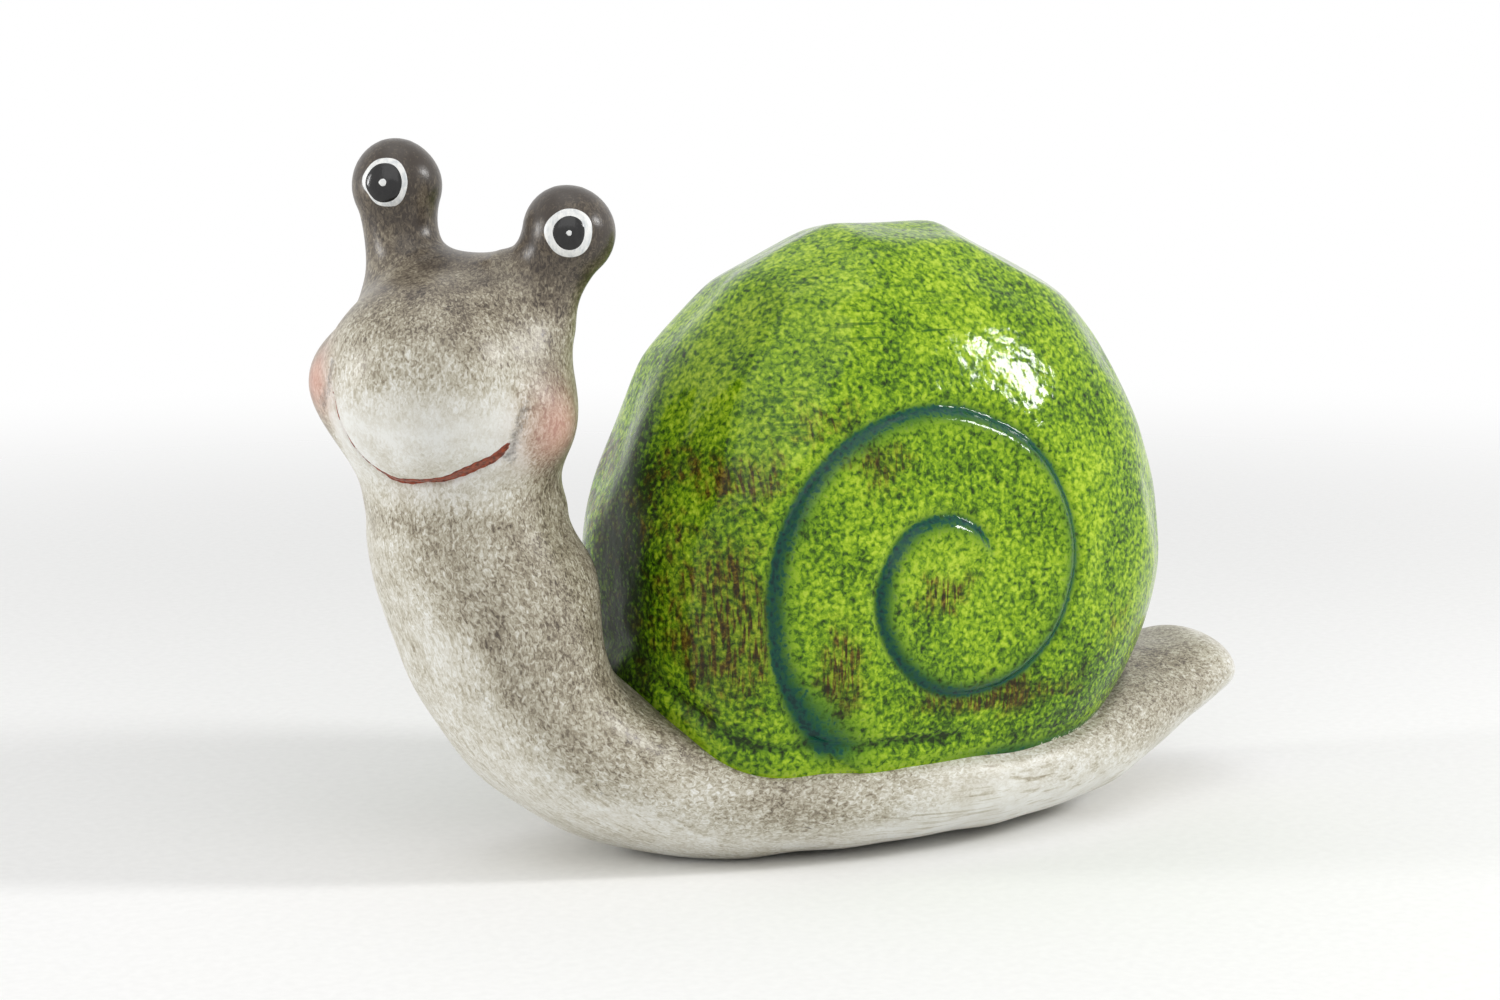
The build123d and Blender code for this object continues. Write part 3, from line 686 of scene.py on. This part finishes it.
# mottled green glaze: thick glossy earthenware glaze, in pale yellow-green blobs on a darker net, teal
# where it pools in grooves, brown and hatched where oxide was brushed under it
def greenGlaze():
    made, tree = newMaterial("mottledGreenGlaze")
    coords = addNode(tree, "ShaderNodeTexCoord").outputs["Object"]
    read = {name: addNode(tree, "ShaderNodeAttribute", attribute_name=name).outputs["Fac"]
            for name in ("pool", "burnt", "shade", "scratch", "nick")}
    # blobs about 1.4 mm across, and cells about 1.7 mm
    blobs = addNode(tree, "ShaderNodeTexNoise",
                    {"Scale": 1000 / 1.4, "Detail": 2.0, "Roughness": 0.55, "Distortion": 0.5},
                    {"Vector": coords})
    cells = addNode(tree, "ShaderNodeTexVoronoi", {"Scale": 1000 / 1.7, "Smoothness": 0.6},
                    {"Vector": coords}, feature="SMOOTH_F1")
    netted = addNode(tree, "ShaderNodeMath", {1: -0.35, 2: 0.13}, {0: cells}, operation="MULTIPLY_ADD")
    mottled = addNode(tree, "ShaderNodeMath", None, {0: blobs, 1: netted}, operation="ADD")
    # drifts of thicker and thinner glaze, about 22 mm across
    drift = addNode(tree, "ShaderNodeTexNoise",
                    {"Scale": 1000 / 22, "Detail": 3.0, "Roughness": 0.55, "Distortion": 0.6},
                    {"Vector": coords})
    driftCentred = addNode(tree, "ShaderNodeMath", {1: 0.5}, {0: drift}, operation="SUBTRACT")
    drifted = addNode(tree, "ShaderNodeMath", {1: 0.55}, {0: driftCentred, 2: mottled},
                      operation="MULTIPLY_ADD")
    # painted shade from the shell's shade numbers darkens the green
    shaded = addNode(tree, "ShaderNodeMath", None, {0: drifted, 1: read["shade"]}, operation="SUBTRACT")
    green = addNode(tree, "ShaderNodeValToRGB", None, {"Fac": shaded},
                    stops=[(0.14, "#1c3006"), (0.32, "#486f0b"), (0.45, "#739a12"), (0.57, "#94b61e"),
                           (0.72, "#b4cf3a")])
    # brown patches with ragged edges, hatched by the brush in lines about 0.9 mm apart
    ragged = addNode(tree, "ShaderNodeTexNoise",
                     {"Scale": 1000 / 8, "Detail": 5.0, "Roughness": 0.65, "Distortion": 1.0},
                     {"Vector": coords})
    burntSum = addNode(tree, "ShaderNodeMath", None, {0: ragged, 1: read["burnt"]}, operation="ADD")
    burntMask = addNode(tree, "ShaderNodeMapRange", {"From Min": 0.63, "From Max": 0.93}, {"Value": burntSum},
                        interpolation_type="SMOOTHSTEP")
    hatchSpace = addNode(tree, "ShaderNodeMapping",
                         {"Scale": (1000 / 0.9, 1000 / 5, 1000 / 7), "Rotation": (0, 0.75, 0)}, {0: coords})
    hatch = addNode(tree, "ShaderNodeTexNoise", {"Scale": 1.0, "Detail": 2.0, "Distortion": 0.4},
                    {"Vector": hatchSpace})
    hatched = addNode(tree, "ShaderNodeMapRange", {"From Min": 0.40, "From Max": 0.60, "To Min": 0.35},
                      {"Value": hatch}, interpolation_type="SMOOTHSTEP")
    burntPart = addNode(tree, "ShaderNodeMath", None, {0: burntMask, 1: hatched}, operation="MULTIPLY")
    brown = addNode(tree, "ShaderNodeValToRGB", None, {"Fac": mottled},
                    stops=[(0.30, "#2a2207"), (0.5, "#4c3c0b"), (0.68, "#7a6a1c")])
    scorched = addNode(tree, "ShaderNodeMix", None, {0: burntPart, 6: green, 7: brown}, data_type="RGBA")
    # teal where the glaze ran together, broken by the blobs
    poolEdge = addNode(tree, "ShaderNodeMath", {1: 0.9, 2: -0.43}, {0: mottled}, operation="MULTIPLY_ADD")
    poolAmount = addNode(tree, "ShaderNodeMath", None, {0: read["pool"], 1: poolEdge}, operation="ADD",
                         use_clamp=True)
    teal = addNode(tree, "ShaderNodeValToRGB", None, {"Fac": poolAmount},
                   stops=[(0.0, "#2f6a12"), (0.55, "#15572c"), (0.85, "#0b4a3e"), (1.0, "#073330")])
    poolMask = addNode(tree, "ShaderNodeMapRange", {"From Min": 0.2, "From Max": 0.8}, {"Value": poolAmount},
                       interpolation_type="SMOOTHSTEP")
    pooled = addNode(tree, "ShaderNodeMix", None, {0: poolMask, 6: scorched.outputs[2], 7: teal},
                     data_type="RGBA")
    # dark strokes of a dry brush near the top, about 1.6 mm wide and 24 mm long
    strokeSpace = addNode(tree, "ShaderNodeMapping",
                          {"Scale": (1000 / 24, 1000 / 7, 1000 / 1.6), "Rotation": (0, 0.12, 0)}, {0: coords})
    strokes = addNode(tree, "ShaderNodeTexNoise", {"Scale": 1.0, "Detail": 1.0}, {"Vector": strokeSpace})
    strokeMask = addNode(tree, "ShaderNodeMapRange", {"From Min": 0.60, "From Max": 0.66}, {"Value": strokes},
                         interpolation_type="SMOOTHSTEP")
    strokePart = addNode(tree, "ShaderNodeMath", None, {0: strokeMask, 1: read["scratch"]},
                         operation="MULTIPLY")
    stroked = addNode(tree, "ShaderNodeMix", {7: linear("#2b5a10")}, {0: strokePart, 6: pooled.outputs[2]},
                      data_type="RGBA")
    # small white nicks where the rim chipped, as large as the blobs
    nickSum = addNode(tree, "ShaderNodeMath", None, {0: blobs, 1: read["nick"]}, operation="ADD")
    nickMask = addNode(tree, "ShaderNodeMapRange", {"From Min": 0.98, "From Max": 1.06}, {"Value": nickSum},
                       interpolation_type="SMOOTHSTEP")
    nicked = addNode(tree, "ShaderNodeMix", {7: linear("#d9dcc4")}, {0: nickMask, 6: stroked.outputs[2]},
                     data_type="RGBA")
    # the surface is lumpy over about 11 mm and finely pitted
    lumps = addNode(tree, "ShaderNodeTexNoise", {"Scale": 1000 / 11, "Detail": 3.0, "Roughness": 0.45},
                    {"Vector": coords})
    relief = addNode(tree, "ShaderNodeMath", {1: 0.05}, {0: blobs, 2: lumps}, operation="MULTIPLY_ADD")
    bump = addNode(tree, "ShaderNodeBump", {"Strength": 0.6, "Distance": 0.0014}, {"Height": relief})
    # the front face, darkened by painted shade, is duller than the flank
    dulled = addNode(tree, "ShaderNodeMapRange", {"From Max": 0.3, "To Min": 0.1, "To Max": 0.42},
                     {"Value": read["shade"]})
    shader = addNode(tree, "ShaderNodeBsdfPrincipled", {"IOR": 1.32},
                     {"Roughness": dulled, "Base Color": nicked.outputs[2], "Normal": bump})
    addNode(tree, "ShaderNodeOutputMaterial", None, {"Surface": shader})
    return made


# brushed enamel: glossy paint laid on by hand, so its tone streaks a little and its skin is not quite flat
def enamel(name, dark, light, roughness):
    made, tree = newMaterial(name)
    coords = addNode(tree, "ShaderNodeTexCoord").outputs["Object"]
    # brush hairs about 0.5 mm apart, drawn coarse enough to show
    hairs = addNode(tree, "ShaderNodeMapping", {"Scale": (1000 / 1.2, 1000 / 1.2, 1000 / 3)}, {0: coords})
    streaks = addNode(tree, "ShaderNodeTexNoise", {"Scale": 1.0, "Detail": 3.0, "Roughness": 0.6},
                      {"Vector": hairs})
    tone = addNode(tree, "ShaderNodeValToRGB", None, {"Fac": streaks}, stops=[(0.32, dark), (0.6, light)])
    bump = addNode(tree, "ShaderNodeBump", {"Strength": 0.3, "Distance": 0.0003}, {"Height": streaks})
    shader = addNode(tree, "ShaderNodeBsdfPrincipled", {"IOR": 1.5, "Roughness": roughness},
                     {"Base Color": tone, "Normal": bump})
    addNode(tree, "ShaderNodeOutputMaterial", None, {"Surface": shader})
    return made


ivory = ivoryGlaze()
green = greenGlaze()
whiteEnamel = enamel("whiteEnamel", "#cfd3d5", "#f1f1ee", 0.3)
blackEnamel = enamel("blackEnamel", "#0b0b0c", "#1b1a1a", 0.18)
redEnamel = enamel("redBrownEnamel", "#4c170c", "#9c4526", 0.4)
bodyMesh.materials.clear()
bodyMesh.materials.append(ivory)

# shell finished: spiral pressed in, lip at the seam, marks of the glaze
relief = shell.modifiers.new("whorl", "NODES")
relief.node_group = whorlTree(whorlSizes)
for item in relief.node_group.interface.items_tree:
    if item.in_out == "INPUT" and item.name in whorlSizes:
        relief[item.identifier] = whorlSizes[item.name]
    elif item.in_out == "INPUT" and item.name == "Material":
        relief[item.identifier] = green
shellMesh = bpy.data.meshes.new_from_object(shell.evaluated_get(bpy.context.evaluated_depsgraph_get()))
shell.modifiers.clear()
shell.data = shellMesh
shellMesh.name = "shell_glazed"

shellFinish = {
    "lipWidth": 5.5, "lipRise": 0.9, "lipGroove": 7.4, "lipGrooveHalf": 1.7, "lipGrooveDepth": 0.9,
    "lipFront": (-12.0, 22.0),
    # x, z, half width, half height and strength of each burnt patch on the flank
    "burnt": [(-66, 72, 12, 26, 0.62), (-61, 113, 14, 9, 0.44), (-38, 58, 8, 14, 0.56), (-6, 78, 10, 7, 0.5),
              (14, 47, 30, 6, 0.52), (-38, 127, 14, 8, 0.3), (-24, 116, 13, 7, 0.44), (36, 142, 14, 8, 0.22),
              (64, 62, 12, 12, 0.25), (-74, 96, 8, 20, 0.3)],
    # the same for strokes of a dry brush
    "scratch": [(-8, 153, 24, 8, 1.0), (-45, 131, 10, 9, 0.8)],
    # how far the glaze pools beside the spiral, inwards and outwards, and how it fills the lip and seam
    "poolInside": 3.8, "poolOutside": 1.5, "lipPool": 0.3, "seamPool": 0.62, "seamPoolReach": 3.6,
    # how dark the painted shade on the front face is, which way it looks, between which places, and how dark
    # the painted shade in the lip's groove is
    "frontShade": 0.3, "frontWay": (0.866, 0.5), "frontReach": (-66.0, -50.0), "lipShade": 0.2,
    # the paler rim, the painted shade on the low rear with its height and x, and the chips at the rear of the
    # seam
    "rimLight": 0.12, "rimReach": 1.3, "lowShade": 0.13, "lowHeight": (42, 16), "lowFrom": (-20, 30),
    "nick": 0.5, "nickFrom": (10, 40),
}
points = readPoints(shellMesh)
normals = readNormals(shellMesh)
seamGap = np.full(len(points), 99.0)
for i in np.nonzero((points[:, 2] < 125) & (points[:, 2] > shellForm["seat"] + 0.5))[0]:
    hit, hitNormal, face, distance = bodyTree.find_nearest(Vector(points[i]))
    seamGap[i] = distance if (Vector(points[i]) - hit).dot(hitNormal) > 0 else -distance
frontShare = 1 - ease(*shellFinish["lipFront"], points[:, 0])
lip = ease(-4, 0, seamGap) * (1 - ease(shellFinish["lipWidth"] - 2, shellFinish["lipWidth"] + 1, seamGap))
lipGroove = np.exp(-((seamGap - shellFinish["lipGroove"]) / shellFinish["lipGrooveHalf"]) ** 2)
lipGroove *= 1 - ease(62, 78, points[:, 2])
lipRelief = lip * shellFinish["lipRise"] - lipGroove * shellFinish["lipGrooveDepth"]
points += normals * (lipRelief * frontShare)[:, None]
writePoints(shellMesh, points)

side, fade, fan = (readNumbers(shellMesh, name) for name in ("side", "fade", "fan"))
side = side / mm / (1 + fan)
spread = np.where(side < 0, side / shellFinish["poolInside"], -side / shellFinish["poolOutside"])
pool = np.exp(spread) * fade
pool = np.maximum(pool, lipGroove * frontShare * shellFinish["lipPool"])
seamPool = shellFinish["seamPool"] * np.exp(-(np.maximum(seamGap, 0) / shellFinish["seamPoolReach"]) ** 2)
pool = np.maximum(pool, seamPool * (1 - 0.5 * frontShare))
marks = {"burnt": np.zeros(len(points)), "scratch": np.zeros(len(points))}
for name, total in marks.items():
    for x, z, wide, high, amount in shellFinish[name]:
        gap = ((points[:, 0] - x) / wide) ** 2 + ((points[:, 2] - z) / high) ** 2
        np.maximum(total, amount * np.exp(-gap), out=total)
# painted shade on the front face, in the lip's groove and on the low rear, taken back along the rim
frontal = shellFinish["frontWay"][0] * points[:, 0] + shellFinish["frontWay"][1] * np.abs(points[:, 1])
shade = shellFinish["frontShade"] * (1 - ease(*shellFinish["frontReach"], frontal))
shade = np.maximum(shade, shellFinish["lipShade"] * lipGroove * frontShare)
rim = shellFinish["rimLight"] * np.exp(-(np.maximum(seamGap, 0) / shellFinish["rimReach"]) ** 2)
shade -= rim * frontShare
lowAt, lowReach = shellFinish["lowHeight"]
lowRear = np.exp(-((points[:, 2] - lowAt) / lowReach) ** 2) * ease(*shellFinish["lowFrom"], points[:, 0])
shade += shellFinish["lowShade"] * lowRear
nick = np.exp(-(np.maximum(seamGap - 0.6, 0) / 1.0) ** 2) * ease(*shellFinish["nickFrom"], points[:, 0])
nick *= shellFinish["nick"]
for name, numbers in (("pool", pool), ("shade", shade), ("nick", nick), *marks.items()):
    storeNumbers(shellMesh, name, numbers)
print("shell finished")

# eyes: coats of enamel on the bulbs, with edges that a brush leaves
eyeCoats = {
    # base is where the coat below ends, lift is how far this one stands on it, edge is its unevenness
    "white": {"base": 12.75, "lift": 0.35, "edge": 0.03, "right": (6.4, 1.08), "left": (6.5, 1.0)},
    "pupil": {"base": 13.05, "lift": 0.32, "edge": 0.02, "right": (5.1, 1.06), "left": (4.35, 1.06)},
    "glint": {"base": 13.34, "lift": 0.2, "edge": 0.05, "right": (1.05, 1.0), "left": (0.75, 1.0)},
    "sides": 72, "rings": (0.02, 0.2, 0.4, 0.6, 0.75, 0.86, 0.94, 0.985, 1.0),
}


def eyeCoat(name, which, coat, material, seed):
    rng = np.random.default_rng(seed)
    root, bulb, yaw, pitch = bodyForm["stalks"][which]
    yaw, pitch = math.radians(yaw), math.radians(pitch)
    level = math.cos(pitch)
    gaze = np.array((math.cos(yaw) * level, math.sin(yaw) * level, math.sin(pitch))) @ headAxes
    side = np.cross(headUp, gaze)
    side /= np.linalg.norm(side)
    up = np.cross(gaze, side)
    sides = eyeCoats["sides"]
    turns = np.linspace(0, 2 * math.pi, sides, endpoint=False)
    edge = np.ones(sides)
    for k in range(2, 7):
        edge += coat["edge"] / k ** 0.5 * rng.normal() * np.cos(k * turns + rng.uniform(0, 6.28))
    rings = [(u, coat["base"] + coat["lift"] * (1 - u ** 8)) for u in eyeCoats["rings"]]
    # the underside lies in the bulb
    rings += [(1.0, coat["base"] - 0.5), (0.6, coat["base"] - 0.6), (0.02, coat["base"] - 0.6)]
    radius, tall = coat[which]
    points = []
    for u, reach in rings:
        across = u * radius * edge
        flat = np.stack((across * np.cos(turns), across * np.sin(turns) * tall), axis=1)
        depth = np.sqrt(np.maximum(reach ** 2 - (flat ** 2).sum(axis=1), 0))
        points.append(fromHead(bulb) + flat[:, :1] * side + flat[:, 1:] * up + depth[:, None] * gaze)
    return makePiece(name, np.concatenate(points), tubeFaces(len(rings), sides), material)


eyeLayers = [("white", whiteEnamel, "white_enamel"), ("pupil", blackEnamel, "dark_enamel"),
             ("glint", whiteEnamel, "white_enamel")]
eyePieces = []
for seed, which in enumerate(bodyForm["stalks"]):
    for layer, material, slotName in eyeLayers:
        piece = eyeCoat(f"{which}_eye_{layer}_coat", which, eyeCoats[layer], material, 20 + seed)
        eyePieces.append((piece, f"{which}_eye_{layer}", slotName))
print("eyes painted")

# mouth: a stroke of red-brown enamel lying in the crease
mouthStroke = {
    # half width along the stroke, from the snail's right to its left
    "halfWidths": [(0, 0.2), (0.2, 0.4), (0.33, 0.7), (0.42, 1.35), (0.5, 1.25), (0.58, 0.8), (0.7, 0.8),
                   (0.82, 1.05), (0.93, 0.8), (1, 0.25)],
    "proud": 0.22, "sunk": 0.7, "count": 110, "steps": 7,
}


def mouthPiece():
    count = mouthStroke["count"]
    line = smoothRows(faceMarks["mouth"], count, [0, 1])
    way = np.gradient(line, axis=0)
    way /= np.linalg.norm(way, axis=1)[:, None]
    over = np.stack((-way[:, 1], way[:, 0]), axis=1)
    half = np.interp(np.linspace(0, 1, count), *np.array(mouthStroke["halfWidths"]).T)
    half *= 1 + 0.15 * np.sin(np.arange(count) * 0.9) * np.sin(np.arange(count) * 0.37)
    rings = []
    for i in range(count):
        front, back = [], []
        for s in np.linspace(-1, 1, mouthStroke["steps"]):
            left, up = line[i] + over[i] * half[i] * s
            brush = Vector(fromHead((90.0, left, up)))
            hit, normal, index, distance = bodyTree.ray_cast(brush, Vector(-headForward))
            front.append(np.array(hit) + np.array(normal) * mouthStroke["proud"] * (1 - 0.9 * abs(s) ** 3))
            back.append(np.array(hit) - headForward * mouthStroke["sunk"])
        rings.extend(front + back[::-1])
    return makePiece("mouth_stroke", np.array(rings), tubeFaces(count, 2 * mouthStroke["steps"]), redEnamel)


mouth = mouthPiece()
for piece in [mouth] + [p for p, node, slotName in eyePieces]:
    work = bmesh.new()
    work.from_mesh(piece.data)
    bmesh.ops.recalc_face_normals(work, faces=work.faces)
    work.to_mesh(piece.data)
    work.free()
print("mouth painted")

# every piece rides on the one body and stands for its castings
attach(body, "root")
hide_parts("foot", "head", "right_eye_stalk", "left_eye_stalk", "neck_slip_joint",
            "right_stalk_slip_joint", "left_stalk_slip_joint", "shell_slip_joint")
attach(shell, "root")
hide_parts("shell")
for piece, node, slotName in eyePieces:
    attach(piece, "root")
    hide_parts(node)
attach(mouth, "root")
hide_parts("mouth_paint")

# floor, light and white surroundings, in metres and watts
studio = {"floorSize": 3.0, "worldLight": 0.5, "floorFade": (0.35, 1.1), "aim": (0.0, 0.0, 0.09),
          # place, width, height and power of each soft box
          "boxes": [((-1.2, 0.42, 0.36), 0.16, 0.5, 6.0), ((0.88, -0.73, 0.72), 0.2, 0.27, 7.6),
                    ((-0.7, -1.0, 1.3), 1.7, 1.7, 8.0), ((-0.1, 0.1, 1.5), 0.9, 0.9, 2.0)]}


# pale floor paper: matt sheet with a faint fibre, fading out away from the object so that no far edge shows
def floorPaper():
    made, tree = newMaterial("paleFloorPaper")
    coords = addNode(tree, "ShaderNodeTexCoord").outputs["Object"]
    fibre = addNode(tree, "ShaderNodeTexNoise", {"Scale": 1000 / 3, "Detail": 3.0}, {"Vector": coords})
    tone = addNode(tree, "ShaderNodeValToRGB", None, {"Fac": fibre},
                   stops=[(0.3, "#f4f4f3"), (0.7, "#f8f8f7")])
    shader = addNode(tree, "ShaderNodeBsdfDiffuse", None, {"Color": tone})
    clear = addNode(tree, "ShaderNodeBsdfTransparent")
    far = addNode(tree, "ShaderNodeVectorMath", None, {0: coords}, operation="LENGTH")
    near, end = studio["floorFade"]
    fadeOut = addNode(tree, "ShaderNodeMapRange", {"From Min": near, "From Max": end},
                      {"Value": far.outputs["Value"]}, interpolation_type="SMOOTHSTEP")
    blend = addNode(tree, "ShaderNodeMixShader", None, {0: fadeOut, 1: shader, 2: clear})
    addNode(tree, "ShaderNodeOutputMaterial", None, {"Surface": blend})
    return made


half = studio["floorSize"] / 2 / mm
corners = [(-half, -half, 0), (half, -half, 0), (half, half, 0), (-half, half, 0)]
floor = makePiece("floor", corners, [(0, 1, 2, 3)], floorPaper())
for number, (place, wide, high, power) in enumerate(studio["boxes"]):
    lamp = bpy.data.lights.new(f"softBox{number}", "AREA")
    lamp.shape = "RECTANGLE"
    lamp.size = wide
    lamp.size_y = high
    lamp.energy = power
    box = bpy.data.objects.new(f"softBox{number}", lamp)
    box.location = place
    box.rotation_euler = (Vector(studio["aim"]) - Vector(place)).to_track_quat("-Z", "Y").to_euler()
    scene.collection.objects.link(box)

world = bpy.data.worlds.new("whiteSurround")
world.use_nodes = True
surround = world.node_tree
surround.nodes.clear()
path = addNode(surround, "ShaderNodeLightPath").outputs
seen = addNode(surround, "ShaderNodeMath", None, {0: path["Is Camera Ray"], 1: path["Is Glossy Ray"]},
               operation="MAXIMUM")
through = addNode(surround, "ShaderNodeMath", None, {0: seen, 1: path["Is Transmission Ray"]},
                  operation="MAXIMUM")
level = addNode(surround, "ShaderNodeMapRange", {"To Min": studio["worldLight"], "To Max": 1.0},
                {"Value": through})
sky = addNode(surround, "ShaderNodeBackground", {"Color": (1, 1, 1, 1)}, {"Strength": level})
addNode(surround, "ShaderNodeOutputWorld", None, {"Surface": sky})
scene.world = world
print("studio set")
